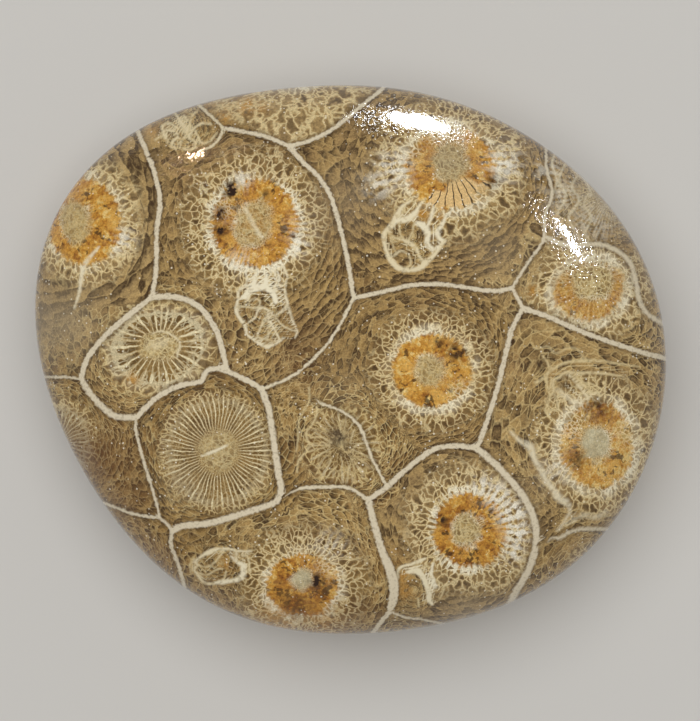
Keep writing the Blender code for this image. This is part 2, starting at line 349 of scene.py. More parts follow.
# Stains, each (x, y, radius, strength). Bare takes rust away and white is a milky veil. A glittering place is
# pitted, rays are pale segments of the ring, and red is deep red-brown rust. Dark is partly dark stone and
# partly painted shade in small cavities that the surface lacks; brown is partly brown stone and partly
# painted shade, darker towards the lower left and the bottom.
STAINS = {
    "dark": ((232, 190, 8, 1.0), (219, 213, 6, 1.0), (221, 230, 6, 0.9), (265, 195, 5, 0.6),
        (339, 437, 12, 0.55), (345, 450, 12, 0.4), (455, 352, 7, 0.8), (440, 344, 5, 0.6),
        (492, 180, 8, 0.5), (442, 520, 6, 0.7), (596, 408, 10, 0.6), (577, 460, 8, 0.5), (317, 581, 7, 1.0),
        (298, 607, 12, 0.4), (541, 365, 6, 0.7), (567, 383, 7, 0.6), (340, 436, 6, 0.7),
        (328, 455, 6, 0.4)),
    "amber": ((132, 380, 6, 1.0), (403, 590, 10, 0.8), (226, 564, 7, 0.9), (280, 618, 22, 0.7),
        (390, 560, 16, 0.35), (247, 105, 8, 1.2), (224, 119, 7, 0.9), (262, 108, 6, 0.5),
        (153, 130, 8, 0.5), (206, 106, 7, 0.5), (534, 291, 5, 1.0), (255, 224, 20, 0.5), (404, 577, 7, 0.9),
        (440, 218, 4, 0.9), (318, 620, 20, 0.5), (566, 284, 10, 0.4), (423, 215, 7, 1.0)),
    "grey": ((338, 436, 10, 0.8), (590, 215, 34, 0.8), (500, 250, 34, 0.55), (62, 325, 38, 1.2),
        (548, 480, 20, 0.4), (340, 390, 26, 0.3), (345, 200, 36, 0.5), (448, 160, 20, 0.9),
        (216, 448, 24, 0.35), (182, 484, 20, 0.5), (465, 612, 24, 0.6)),
    "bare": ((226, 205, 14, 0.4), (448, 130, 20, 0.9), (412, 150, 12, 0.6), (480, 195, 10, 0.5),
        (600, 258, 20, 0.9), (568, 268, 14, 0.9), (575, 425, 16, 0.5), (628, 432, 14, 0.4),
        (460, 392, 12, 0.5), (330, 560, 16, 0.5)),
    "white": ((394, 168, 16, 0.7), (380, 184, 14, 0.55), (504, 164, 16, 0.75), (560, 196, 18, 0.35),
        (592, 222, 24, 0.3), (548, 170, 12, 0.5), (300, 230, 14, 0.3), (498, 496, 12, 0.9),
        (512, 514, 13, 1.1), (518, 532, 11, 1.1), (514, 552, 9, 0.8), (482, 486, 10, 0.7),
        (300, 245, 9, 0.6), (242, 180, 9, 0.6), (124, 240, 10, 0.5), (240, 262, 12, 0.4),
        (556, 470, 14, 0.35), (330, 545, 14, 0.3)),
    # brown: partly the stone's brown patches, partly painted shade towards the lower left and bottom
    "brown": ((92, 460, 38, 1.1), (118, 500, 30, 0.8), (215, 610, 30, 0.5), (512, 360, 14, 0.4),
        (580, 570, 30, 0.4), (300, 360, 30, 0.5), (150, 560, 34, 0.6), (350, 620, 40, 0.4),
        (230, 370, 24, 0.3)),
    "glitter": ((192, 155, 9, 0.1), (204, 188, 10, 1.0), (208, 215, 9, 0.6), (216, 240, 9, 0.8),
        (206, 268, 8, 0.8), (218, 292, 10, 1.0), (313, 593, 8, 1.0), (372, 122, 24, 0.12),
        (362, 405, 22, 0.5), (338, 437, 12, 0.7)),
    "rays": ((463, 196, 17, 1.3), (486, 190, 10, 0.9), (438, 200, 10, 1.0)),
    "red": ((600, 409, 18, 0.8), (576, 452, 11, 0.6), (300, 606, 20, 0.7), (284, 583, 10, 0.5),
        (226, 222, 11, 0.5), (455, 352, 14, 0.5), (452, 516, 16, 0.3)),
}

# ---------------------------------------------------------------------------------------------------
# The stone's surface
# ---------------------------------------------------------------------------------------------------


def superellipse(fullness, count=4000):
    """Points of a quarter of a superellipse, from (0, 1) to (1, 0)."""
    angle = np.linspace(0, math.pi / 2, count)
    return np.sin(angle) ** (2 / fullness), np.cos(angle).clip(0) ** (2 / fullness)


def along(share, height, steps):
    """The profile's (share, height) at steps from 0 to 1 along it. Steep stretches get fewer steps."""
    run = np.hypot(np.diff(share) * MEAN_RADIUS, np.diff(height) * STEEP_SHARE)
    length = np.concatenate(([0], np.cumsum(run)))
    length /= length[-1]
    return np.interp(steps, length, share), np.interp(steps, length, height)


def dome(steps):
    share, height = superellipse(DOME_FULLNESS)
    return along(share, FLANK_HEIGHT + DOME_HEIGHT * height, steps)


def underside(steps):
    share, height = superellipse(FLANK_FULLNESS)
    share = np.concatenate(([0], BASE_FLAT_SHARE + (1 - BASE_FLAT_SHARE) * share))
    height = np.concatenate(([0], FLANK_HEIGHT * (1 - height)))
    return along(share, height, steps)


def outline_radius(azimuth, share):
    """The outline's radius. The lobes fade towards the crown and the base, whose contours are rounder."""
    return MEAN_RADIUS + sum(
        height * share**count * np.cos(count * (azimuth - math.radians(crest)))
        for count, height, crest in OUTLINE_LOBES
    )


def azimuth_of(x, y):
    """The azimuth at which a place on a square sheet lies once the sheet is a round one."""
    wide = np.abs(x) >= np.abs(y)
    with np.errstate(divide="ignore", invalid="ignore"):
        across = np.where(wide, math.pi / 4 * y / x, math.pi / 2 - math.pi / 4 * x / y)
    turned = np.where(wide, x < 0, y < 0)
    return np.nan_to_num(across) + np.where(turned, math.pi, 0)


def on_the_stone(sheet):
    """Where places on the two sheets, (x, y, above or below 0), lie on the stone, in metres."""
    x, y, side = sheet.T
    steps = np.maximum(np.abs(x), np.abs(y))
    azimuth = azimuth_of(x, y)
    over, under = dome(steps), underside(steps)
    share = np.where(side >= 0, over[0], under[0])
    height = np.where(side >= 0, over[1], under[1])
    radius = outline_radius(azimuth, share) * share
    rise = (height - FLANK_HEIGHT).clip(0) / DOME_HEIGHT
    x = radius * np.cos(azimuth) + CROWN_SHIFT[0] * rise**2
    y = radius * np.sin(azimuth) + CROWN_SHIFT[1] * rise**2
    place = np.stack((x, y, height), axis=1)
    place[:, :2] -= (place[:, :2].min(0) + place[:, :2].max(0)) / 2
    return place


def mesh_of(bm, name):
    mesh = bpy.data.meshes.new(name)
    bm.to_mesh(mesh)
    bm.free()
    return mesh


def joined_sheets():
    """Two square sheets joined at their rims, 2 across, which the stone's surface is pressed from."""
    bm = bmesh.new()
    for side in (1, -1):
        grid = bmesh.ops.create_grid(bm, x_segments=SHEET_CUTS, y_segments=SHEET_CUTS, size=1)
        for vert in grid["verts"]:
            vert.co.z = side * (1 - max(abs(vert.co.x), abs(vert.co.y)))
    bmesh.ops.remove_doubles(bm, verts=bm.verts, dist=0.1 / SHEET_CUTS)
    bmesh.ops.recalc_face_normals(bm, faces=bm.faces)
    return mesh_of(bm, "fossil_coral_surface")


def read_places(mesh):
    places = np.empty(len(mesh.vertices) * 3, np.float32)
    mesh.vertices.foreach_get("co", places)
    return places.reshape(-1, 3).astype(float)


def lay_bake_map(mesh, sheet):
    """The map that a bake uses: the dome takes the upper seven tenths of it, the underside the rest."""
    corner = np.empty(len(mesh.loops), np.int32)
    mesh.loops.foreach_get("vertex_index", corner)
    face_side = np.add.reduceat(sheet[corner, 2], np.arange(0, len(corner), 4))
    above = np.repeat(face_side > 0, 4)
    u = 0.5 + 0.496 * sheet[corner, 0]
    v = 0.5 + 0.5 * sheet[corner, 1]
    v = np.where(above, 0.304 + 0.692 * v, 0.004 + 0.288 * v)
    layer = mesh.uv_layers.new(name="OFBake")
    layer.data.foreach_set("uv", np.stack((u, v), axis=1).astype(np.float32).ravel())


# ---------------------------------------------------------------------------------------------------
# What lies where: walls, corallites and stains
# ---------------------------------------------------------------------------------------------------


def plan_of(place):
    """Where points of the stone lie on the plan. Below the widest line the columns lean a little."""
    depth = EYE.z - place[:, 2]
    x = PLAN_WIDE / 2 + (place[:, 0] - EYE.x) * FOCAL_STEPS / depth
    y = PLAN_HIGH / 2 - (place[:, 1] - EYE.y) * FOCAL_STEPS / depth
    lean = ((FLANK_HEIGHT - place[:, 2]) / FLANK_HEIGHT).clip(0, 1)
    moved = []
    for own, other, (sway, length, start, shift) in zip((x, y), (y, x), COLUMN_LEAN):
        moved.append(own + lean * (sway * np.sin(other / length + start) + shift))
    return np.stack(moved, axis=1)


def knot(place):
    """A line's place as (x, y, share of the line's width)."""
    place = MEETS[place] if isinstance(place, str) else place
    return np.array(tuple(place) + (1.0,) * (3 - len(place)), float)


def smooth_line(places, spacing=0.5):
    """A curve through the places, as points about spacing steps apart."""
    knots = [knot(place) for place in places]
    knots = [2 * knots[0] - knots[1]] + knots + [2 * knots[-1] - knots[-2]]
    points = []
    for before, start, end, after in zip(knots, knots[1:], knots[2:], knots[3:]):
        count = max(2, int(np.linalg.norm(end[:2] - start[:2]) / spacing))
        t = np.linspace(0, 1, count, endpoint=False)[:, None]
        bend, twist = 2 * before - 5 * start + 4 * end - after, 3 * start - before - 3 * end + after
        points.append(0.5 * (2 * start + (end - before) * t + bend * t**2 + twist * t**3))
    return np.concatenate(points)


class Lines:
    """Lines on the plan that can be asked which of them is nearest."""

    def __init__(self, lines):
        runs = [smooth_line(places) for *_, places in lines]
        looks = [np.tile(look, (len(run), 1)) for (*look, _), run in zip(lines, runs)]
        points = np.concatenate(runs)
        self.points = points[:, :2]
        self.looks = np.concatenate(looks).astype(float)
        self.looks[:, 0] *= points[:, 2]
        self.tree = KDTree(len(points))
        for index, (x, y) in enumerate(self.points):
            self.tree.insert((x, y, 0), index)
        self.tree.balance()

    def nearest(self, plan):
        """For each place, the offset from the nearest line, and that line's looks there."""
        index = np.array([self.tree.find((x, y, 0))[1] for x, y in plan])
        return plan - self.points[index], self.looks[index]


def claims(lines, grid=3.0, rounds=260, beside=1.8):
    """Which corallite each square of the plan is in: growth spreads from each ring and stops at walls."""
    xs, ys = np.arange(0, PLAN_WIDE, grid), np.arange(0, PLAN_HIGH, grid)
    plan = np.stack(np.meshgrid(xs, ys), axis=-1)
    offset = lines.nearest(plan.reshape(-1, 2))[0].reshape(plan.shape)
    near = np.hypot(offset[..., 0], offset[..., 1]) < beside * grid
    away = np.full(near.shape, np.inf)
    owner = np.zeros(near.shape, int)
    limit = np.array([coral.get("limit", np.inf) for coral in CORALLITES.values()])
    for label, coral in enumerate(CORALLITES.values()):
        x, y, wide, high = coral["ring"]
        place = (int(round(y / grid)), int(round(x / grid)))
        away[place], owner[place] = -(wide + high) / 2, label
    moves = [(dy, dx) for dy in (-1, 0, 1) for dx in (-1, 0, 1) if dy or dx]
    steps = []
    for dy, dx in moves:
        here = (slice(max(dy, 0), len(ys) + min(dy, 0)), slice(max(dx, 0), len(xs) + min(dx, 0)))
        there = (slice(max(-dy, 0), len(ys) + min(-dy, 0)), slice(max(-dx, 0), len(xs) + min(-dx, 0)))
        crossed = ((offset[here] * offset[there]).sum(-1) < 0) & near[here] & near[there]
        steps.append((here, there, np.where(crossed, np.inf, grid * math.hypot(dx, dy))))
    for _ in range(rounds):
        settled = away.copy()
        for here, there, cost in steps:
            reach = away[there] + cost
            closer = (reach < away[here] - 1e-9) & (reach < limit[owner[there]])
            away[here] = np.where(closer, reach, away[here])
            owner[here] = np.where(closer, owner[there], owner[here])
        if np.array_equal(settled, away):
            break
    return lambda plan: owner[
        (plan[:, 1] / grid).round().astype(int).clip(0, len(ys) - 1),
        (plan[:, 0] / grid).round().astype(int).clip(0, len(xs) - 1),
    ]


def reach_to_ellipse(origin, direction, ellipse, lean):
    """How far it is from points inside an ellipse to its edge, in a direction."""
    x, y, wide, high = ellipse
    c, s = math.cos(math.radians(lean)), math.sin(math.radians(lean))

    def own(vector):
        x, y = vector[..., 0], vector[..., 1]
        return np.stack(((c * x + s * y) / wide, (-s * x + c * y) / high), axis=-1)

    start, step = own(origin - np.array((x, y))), own(direction)
    a, b, k = (step**2).sum(-1), (start * step).sum(-1), (start**2).sum(-1) - 1
    return (-b + np.sqrt((b * b - a * k).clip(0))) / a


def corallite_fields(plan, label):
    """For each place: its place in its corallite, where the ring is 1 from the middle, and the kinds."""
    cup, kind, build, trim, net = (np.zeros((len(plan), 3)) for _ in range(5))
    for index, row in enumerate(CORALLITES.values()):
        mine = label == index
        if not mine.any():
            continue
        coral = SimpleNamespace(**{**CORALLITE, **row})
        middle = np.array(coral.core[:2], float)
        offset = plan[mine] - middle
        away = np.hypot(offset[:, 0], offset[:, 1]).clip(1e-6)
        direction = offset / away[:, None]
        ring = reach_to_ellipse(middle, direction, coral.ring, coral.lean)
        core = reach_to_ellipse(middle, direction, coral.core, coral.lean)
        share = away / ring
        cup[mine] = np.stack((direction[:, 0] * share, -direction[:, 1] * share, ring), axis=1)
        kind[mine] = coral.rust, coral.frill, coral.septa
        build[mine, 0] = core / ring
        build[mine, 1:] = coral.count, coral.pale
        trim[mine] = coral.teeth, coral.smooth, coral.bubble
        net[mine] = row.get("reach", coral.frill * 20 + 9), coral.gold, coral.lines
    return dict(cup=cup, kind=kind, build=build, trim=trim, net=net)


def layer_fields(cup, wall):
    """The bubbles' layer number between ring and wall, and how far beyond the ring a place lies."""
    beyond = (np.hypot(cup[:, 0], cup[:, 1]) - 1) * cup[:, 2]
    gap = beyond.clip(0) + np.hypot(wall[:, 0], wall[:, 1]) + 1e-6
    layer = beyond.clip(0) / gap * np.sqrt(LAYER_GAP * gap) / LAYER_HEIGHT
    return np.stack((layer, beyond, np.zeros_like(layer)), axis=1)


def stain_fields(plan):
    """How strongly each place is stained, a column for each kind."""
    fields = np.zeros((len(plan), len(STAINS)))
    for column, spots in enumerate(STAINS.values()):
        for x, y, radius, strength in spots:
            away = np.hypot(*(plan - np.array((x, y))).T) / radius
            fields[:, column] = np.maximum(fields[:, column], strength * np.exp(-(away**2)))
    return fields


def write_fields(mesh, **fields):
    for name, values in fields.items():
        layer = mesh.attributes.new(name, "FLOAT_VECTOR", "POINT")
        layer.data.foreach_set("vector", values.astype(np.float32).ravel())


def coral_surface():
    mesh = joined_sheets()
    sheet = read_places(mesh)
    place = on_the_stone(sheet)
    mesh.vertices.foreach_set("co", place.astype(np.float32).ravel())
    lay_bake_map(mesh, sheet)
    plan = plan_of(place)
    walls = list(WALLS.values())
    wall, wall_looks = Lines(walls).nearest(plan)
    rib, rib_looks = Lines(RIBS).nearest(plan)
    corallite = corallite_fields(plan, claims(Lines(walls + RIBS))(plan))
    stains = stain_fields(plan)
    write_fields(
        mesh,
        wall=np.column_stack((wall, wall_looks[:, 0])),
        wall_looks=wall_looks[:, 1:],
        rib=np.column_stack((rib, rib_looks[:, 0])),
        rib_looks=rib_looks[:, 1:],
        stain=stains[:, :3],
        tint=stains[:, 3:6],
        mark=stains[:, 6:],
        layer=layer_fields(corallite["cup"], wall),
        **corallite,
    )
    mesh.update()
    mesh.shade_smooth()
    return mesh


# ---------------------------------------------------------------------------------------------------
# Shader building
# ---------------------------------------------------------------------------------------------------


class Flow:
    """A value in the shader. An expression on it adds the Math nodes that work it out."""

    def __init__(self, bench, socket):
        self.bench, self.socket = bench, socket

    def maths(self, operation, *values):
        node = self.bench.add("ShaderNodeMath", {"operation": operation}, dict(enumerate(values)))
        return Flow(self.bench, node.outputs[0])

    def __add__(self, other):
        return self.maths("ADD", self, other)

    def __sub__(self, other):
        return self.maths("SUBTRACT", self, other)

    def __rsub__(self, other):
        return self.maths("SUBTRACT", other, self)

    def __mul__(self, other):
        return self.maths("MULTIPLY", self, other)

    def __truediv__(self, other):
        return self.maths("DIVIDE", self, other)

    def __rtruediv__(self, other):
        return self.maths("DIVIDE", other, self)

    def __pow__(self, other):
        return self.maths("POWER", self, other)

    __radd__ = __add__
    __rmul__ = __mul__

    def least(self, other):
        return self.maths("MINIMUM", self, other)

    def most(self, other):
        return self.maths("MAXIMUM", self, other)

    def sine(self):
        return self.maths("SINE", self)

    def cosine(self):
        return self.maths("COSINE", self)

    def log(self):
        return self.maths("LOGARITHM", self, math.e)

    def size(self):
        return self.maths("ABSOLUTE", self)

    def steady(self, low, high, start=0.0, end=1.0):
        """Eases from start to end as the value goes from low to high."""
        node = self.bench.add(
            "ShaderNodeMapRange",
            {"interpolation_type": "SMOOTHSTEP"},
            {"Value": self, "From Min": low, "From Max": high, "To Min": start, "To Max": end},
        )
        return Flow(self.bench, node.outputs[0])


class Bench:
    """Where a material's nodes are put together."""

    def __init__(self, name):
        self.material = bpy.data.materials.new(name)
        self.material.use_nodes = True
        self.tree = self.material.node_tree

    def plug(self, socket, value):
        if isinstance(value, Flow):
            value = value.socket
        if isinstance(value, bpy.types.NodeSocket):
            self.tree.links.new(value, socket)
        else:
            socket.default_value = value

    def add(self, kind, settings, sockets):
        node = self.tree.nodes.new(kind)
        for name, value in settings.items():
            setattr(node, name, value)
        for name, value in sockets.items():
            self.plug(node.inputs[name], value)
        return node

    def finish(self, sockets):
        """Sets the shader's own sockets, and hands over the material."""
        for name, value in sockets.items():
            self.plug(self.tree.nodes["Principled BSDF"].inputs[name], value)
        return self.material

    def field(self, name):
        """The three values that the surface holds under a name."""
        return self.parts(self.add("ShaderNodeAttribute", {"attribute_name": name}, {}).outputs["Vector"])

    def parts(self, vector):
        node = self.add("ShaderNodeSeparateXYZ", {}, {0: vector})
        return [Flow(self, output) for output in node.outputs]

    def vector(self, x, y, z):
        return self.add("ShaderNodeCombineXYZ", {}, {0: x, 1: y, 2: z}).outputs[0]

    def vectors(self, operation, vector, other):
        return self.add("ShaderNodeVectorMath", {"operation": operation}, {0: vector, 1: other}).outputs

    def moved(self, vector, by):
        return self.vectors("ADD", vector, by)["Vector"]

    def scaled(self, vector, scale):
        sockets = {0: vector, "Scale": scale}
        return self.add("ShaderNodeVectorMath", {"operation": "SCALE"}, sockets).outputs["Vector"]

    def noise(self, vector, size, detail=2.0, roughness=0.5):
        """Noise about 0.5 whose lumps are size steps across."""
        sockets = {"Vector": vector, "Scale": 1 / size, "Detail": detail, "Roughness": roughness}
        return Flow(self, self.add("ShaderNodeTexNoise", {}, sockets).outputs["Fac"])

    def drift(self, vector, size, amount, detail=1.0):
        """A vector that wanders by up to about amount."""
        sockets = {"Vector": vector, "Scale": 1 / size, "Detail": detail}
        node = self.add("ShaderNodeTexNoise", {}, sockets)
        centred = self.vectors("SUBTRACT", node.outputs["Color"], (0.5, 0.5, 0.5))["Vector"]
        return self.scaled(centred, 2.0 * amount)

    def cells(self, vector, layer=None, feature="F1"):
        """Cells whose middles are about 1 apart. With a layer given they change from layer to layer."""
        settings = {"voronoi_dimensions": "3D" if layer is None else "4D", "feature": feature}
        sockets = {"Vector": vector, "Scale": 1.0, **({} if layer is None else {"W": layer})}
        return self.add("ShaderNodeTexVoronoi", settings, sockets).outputs

    def edge(self, vector, layer=None):
        """How far it is to the edge of a cell."""
        return Flow(self, self.cells(vector, layer, "DISTANCE_TO_EDGE")["Distance"])

    def tone(self, cell):
        """A cell's own value from 0 to 1."""
        return self.parts(cell["Color"])[0]

    def mix(self, share, low, high, blend="MIX"):
        settings = {"data_type": "RGBA", "blend_type": blend, "clamp_factor": True}
        return self.add("ShaderNodeMix", settings, {0: share, 6: low, 7: high}).outputs[2]

    def ramp(self, value, stops):
        node = self.add("ShaderNodeValToRGB", {}, {0: value})
        elements = node.color_ramp.elements
        while len(elements) < len(stops):
            elements.new(0.5)
        for element, (place, colour) in zip(elements, stops):
            element.position = place
            element.color = colour
        return node.outputs["Color"]


def rgb(red, green, blue):
    """A colour given as 0 to 255 on a screen, as the renderer wants it."""
    return tuple(
        (c / 255 / 12.92 if c <= 10 else ((c / 255 + 0.055) / 1.055) ** 2.4) for c in (red, green, blue)
    ) + (1.0,)


# ---------------------------------------------------------------------------------------------------
# The coral's colours
# ---------------------------------------------------------------------------------------------------
WALL = rgb(222, 209, 181)
WALL_CREAM = rgb(230, 217, 180)
GROUND_OLIVE = rgb(153, 121, 66)
GROUND_BROWN = rgb(130, 98, 54)
GROUND_PALE = rgb(188, 160, 110)
GROUND_GOLD = rgb(184, 148, 84)
BUBBLE_DARK = rgb(60, 40, 19)
# the pale crumbs, and also the colour of each bubble's painted lit side
BUBBLE_LIT_SIDE_AND_CRUMB = rgb(190, 158, 100)
NET_DIM = rgb(188, 156, 100)
NET_CREAM = rgb(222, 199, 142)
FRILL = rgb(240, 230, 200)
CORE_PALE = rgb(208, 188, 138)
CORE_MID = rgb(180, 154, 100)
CORE_DARK = rgb(126, 102, 62)
CORE_TAN = rgb(196, 166, 106)
CORE_GREY = rgb(198, 188, 154)
RUST_STOPS = (
    (0.0, rgb(96, 56, 20)),
    (0.25, rgb(152, 98, 34)),
    (0.5, rgb(190, 134, 50)),
    (0.75, rgb(208, 158, 70)),
    (1.0, rgb(226, 196, 126)),
)
RUST_PALE = rgb(226, 180, 96)
RUST_RED = rgb(118, 62, 28)
RUST_SEGMENT = rgb(226, 190, 130)
SEPTUM = rgb(226, 212, 172)
STAIN_DARK = rgb(46, 26, 13)
STAIN_AMBER = rgb(184, 134, 58)
STAIN_GREY = rgb(164, 147, 117)
STAIN_WHITE = rgb(238, 231, 212)
# brown patches, and painted shade towards the lower left and bottom
BROWN_PATCH_AND_SHADE = rgb(106, 70, 40)
# the colour of the painted glints
PAINTED_GLINT_PALE = rgb(240, 232, 210)


# ---------------------------------------------------------------------------------------------------
# The coral's material. Lengths are in plan steps.
# ---------------------------------------------------------------------------------------------------
BUBBLE_SIZE = 17.0  # a bubble of the usual size
SMALL_BUBBLES = 2.2  # how many small bubbles lie along one of them
# the side from which the bubbles' painted shade and painted light fall
BUBBLE_LIT_FROM = (0.9, -0.9, 0.0)
NET_CELLS = 1.3  # cells of the fine net to each septum
NET_LENGTH = 0.75  # and how many of them lie outwards for one along the ring
RUST_CELLS = 0.8
RUST_LENGTH = 9.0
WEB_WIDE, WEB_HIGH = 5.5, 5.0  # the mesh of a core's web
GRAIN_SIZE = 1.8
PAINTED_GLINT_GAP = 4.0
CRUMB_SIZE = 3.4
PIT_SIZE = 2.8
PIT_DEPTH = 0.0002  # metres
POLISH = (0.03, 0.075)  # how rough the best and the least polished places are
REFRACTION = 1.5


def read_fields(bench):
    """What the surface knows about a place, made a little uneven."""
    f = SimpleNamespace()
    f.here = bench.scaled(bench.add("ShaderNodeTexCoord", {}, {}).outputs["Object"], STEPS_PER_METRE)
    f.noise, f.drift = partial(bench.noise, f.here), partial(bench.drift, f.here)
    f.rust, f.frill, f.septa = bench.field("kind")
    f.core_share, f.count, f.pale = bench.field("build")
    f.teeth, f.smooth, f.bubble = bench.field("trim")
    f.reach, f.gold, f.lines = bench.field("net")
    f.glitter, f.rays, f.red = bench.field("mark")
    f.dark, f.amber, f.grey = bench.field("stain")
    f.bare, f.white, f.brown = bench.field("tint")
    f.cup_x, f.cup_y, f.ring = bench.field("cup")
    f.layer, beyond, _ = bench.field("layer")
    f.beyond = beyond + (f.noise(15, 3) - 0.5) * 11
    f.share = (f.beyond / f.ring + 1).most(0.02)
    f.angle = f.cup_y.maths("ARCTAN2", f.cup_y, f.cup_x)
    bend = (f.noise(11) - 0.5) * 4 + (f.noise(45, 1) - 0.5) * 12
    f.ray = (f.angle * f.count + bend).cosine()
    f.turns = f.count / (2 * math.pi)
    f.near = (f.beyond / f.reach + (f.noise(20) - 0.5) * 0.8).steady(0.5, 1.15, 1, 0)
    f.patch = f.noise(26, 1).steady(0.3, 0.7, 0.2, 1.0)
    f.net_edge, f.net_tone = fine_net(bench, f)
    return f


def fine_net(bench, f):
    """The edges and tones of the cells of the fine net, which gets finer inwards."""
    dense = f.turns * NET_CELLS
    place = bench.vector(f.angle.cosine() * dense, f.angle.sine() * dense, f.share.log() * dense * NET_LENGTH)
    place = bench.moved(place, f.drift(9, 0.6))
    return bench.edge(place), bench.tone(bench.cells(place))


def coral_material():
    bench = Bench("polished_fossil_coral")
    f = read_fields(bench)
    colour = far_bubbles(bench, f)
    for paint in (near_bubbles, septa, rust_ring, core, frill_teeth, stained, grained, walled):
        colour = paint(bench, f, colour)
    level = f.noise(PIT_SIZE, 2, 0.6) - f.glitter * 0.12
    pits = level.steady(0.30, 0.46) * (1 + f.glitter * 2) + f.noise(9, 2) * 1.4
    strength = f.glitter * 0.45 + 0.09
    bump = bench.add("ShaderNodeBump", {}, {"Strength": strength, "Distance": PIT_DEPTH, "Height": pits})
    return bench.finish(
        {
            "Base Color": colour,
            "Roughness": f.noise(5).steady(0.2, 0.8, *POLISH),
            "Normal": bump.outputs["Normal"],
            "IOR": REFRACTION,
        }
    )


def far_bubbles(bench, f):
    """Bubbles between ring and wall. They lie in layers, flat like scales, and each has painted shade on one
    side and painted light on the other, as though lit from one side.
    """
    place = bench.scaled(f.here, 1 / (f.bubble * BUBBLE_SIZE))
    place = bench.moved(bench.moved(place, f.drift(26, 0.45, 2)), f.drift(7, 0.14, 2))
    layer = f.layer / f.bubble
    edge = bench.edge(place, layer)
    cell = bench.cells(place, layer)
    far = 1 - f.near
    ground = bubble_ground(bench, f, bubble_shade(bench, f, place, layer, cell), bench.tone(cell), edge)
    small_edge = bench.edge(bench.scaled(place, SMALL_BUBBLES), layer * 1.7)
    small_line = small_edge.steady(0.02, 0.14, 1, 0) * f.noise(18).steady(0.4, 0.6)
    ground = bench.mix(small_line * far * f.lines * 0.9, ground, NET_DIM)
    patchy = f.noise(22, 2).steady(0.35, 0.65)
    line = edge.steady(0.0, 0.09, 1, 0) * (0.05 + patchy * 0.35 + f.lines * 0.6).least(1)
    line_colour = bench.mix(f.beyond.steady(12, 40, 1, 0).most(f.lines * 0.7), NET_DIM, NET_CREAM)
    return bench.mix(line * (far * 0.85 + 0.15), ground, line_colour)


def bubble_shade(bench, f, place, layer, cell):
    """How far a place lies to the light side of its bubble's middle."""
    inwards = Flow(bench, cell["W"]) - layer
    offset = bench.vectors("SUBTRACT", cell["Position"], place)["Vector"]
    slope = Flow(bench, bench.vectors("DOT_PRODUCT", offset, BUBBLE_LIT_FROM)["Value"])
    return inwards * 0.8 + slope + (f.noise(5, 3) - 0.5) * 1.1


def bubble_ground(bench, f, shade, tone, edge):
    """The brown filling of the bubbles, with painted shade on one side and painted light on the other side of
    each, and fine crumbs all over.
    """
    far = 1 - f.near
    ground = bench.mix(f.noise(60, 3, 0.6).steady(0.4, 0.6), GROUND_BROWN, GROUND_OLIVE)
    ground = bench.mix(f.pale * 0.7, ground, GROUND_PALE)
    ground = bench.mix(f.beyond.steady(0, 16, 1, 0) * f.rust * 0.6, ground, GROUND_GOLD)
    ground = bench.mix(tone * far * 0.35, ground, BUBBLE_DARK)
    # painted light: the side of each bubble towards BUBBLE_LIT_FROM is made paler
    ground = bench.mix(shade.steady(-0.9, 0.0, 1, 0) * far * 0.5, ground, BUBBLE_LIT_SIDE_AND_CRUMB)
    # painted shade: a dark arc inside each bubble on the side away from the light
    painted_shade_crescent = shade.steady(-0.25, 0.35) * edge.steady(0.03, 0.35, 1, 0.4)
    ground = bench.mix(painted_shade_crescent * far, ground, BUBBLE_DARK)
    crumb = f.noise(CRUMB_SIZE, 3, 0.65)
    ground = bench.mix(crumb.steady(0.36, 0.5, 1, 0) * 0.35, ground, BUBBLE_DARK)
    return bench.mix(crumb.steady(0.54, 0.72) * 0.35, ground, BUBBLE_LIT_SIDE_AND_CRUMB)


def near_bubbles(bench, f, colour):
    """The fine cream net round the ring, thicker close to it."""
    hollow = f.net_edge.steady(0.06, 0.3) * f.near * (0.25 + f.net_tone * 0.6)
    colour = bench.mix(hollow * (1 - f.beyond.steady(0, 9, 0.4, 0)), colour, BUBBLE_DARK)
    thick = f.frill * f.patch * f.beyond.steady(0, 13, 1, 0)
    line = (f.net_edge - thick * 0.11).steady(0.02, 0.12, 1, 0) * f.near
    line_colour = bench.mix((thick * 1.3).most(f.frill * 0.25), NET_CREAM, FRILL)
    return bench.mix(line * (0.78 + thick * 0.22), colour, line_colour)


def septa(bench, f, colour):
    """The spokes of the corallites that aren't filled with rust, with cross bars between them."""
    other = (f.angle * (f.count / 2)).cosine()
    thin = f.share.steady(0.35, 1.0, 0.75, 0.5)
    spoke = (f.ray - thin).steady(-0.15, 0.25) * other.steady(-0.4, 0.4, 0.6, 1.0)
    spoke = spoke * f.noise(9, 3).steady(0.32, 0.52, 0.3, 1)
    zone = f.share.steady(0.9, 1.2, 1, 0) * (f.share - f.core_share).steady(-0.04, 0.12)
    barred = (f.frill * 2.5).least(1)
    bars = f.net_edge.steady(0.04, 0.14, 1, 0) * f.share.steady(0.55, 0.95) * barred
    gap = f.noise(20, 2).steady(0.35, 0.65, 0.25, 0.8)
    back = bench.mix((1 - f.ray.steady(-0.6, 0.8)) * gap, GROUND_OLIVE, BUBBLE_DARK)
    colour = bench.mix(zone * f.septa * 0.85, colour, back)
    rim = (f.share - 0.97).size().steady(0.02, 0.06, 0.8, 0)
    lines = spoke.most(bars * 0.75).most(rim * barred)
    return bench.mix((lines * zone * f.septa * 1.2).least(1), colour, SEPTUM)


def rust_ring(bench, f, colour):
    """The rust-filled ring, with toothed edges."""
    toothed = f.share + f.ray * 0.03 + (f.noise(6, 2) - 0.5) * 0.22
    inner = f.share - f.core_share + (f.noise(9, 2) - 0.5) * 0.34
    zone = toothed.steady(0.90, 1.04, 1, 0) * inner.steady(-0.1, 0.14)
    zone = zone * (1 - (f.bare * 1.5 * f.noise(10).steady(0.35, 0.6, 0.5, 1)).least(1))
    return bench.mix(zone * f.rust, colour, rust(bench, f))


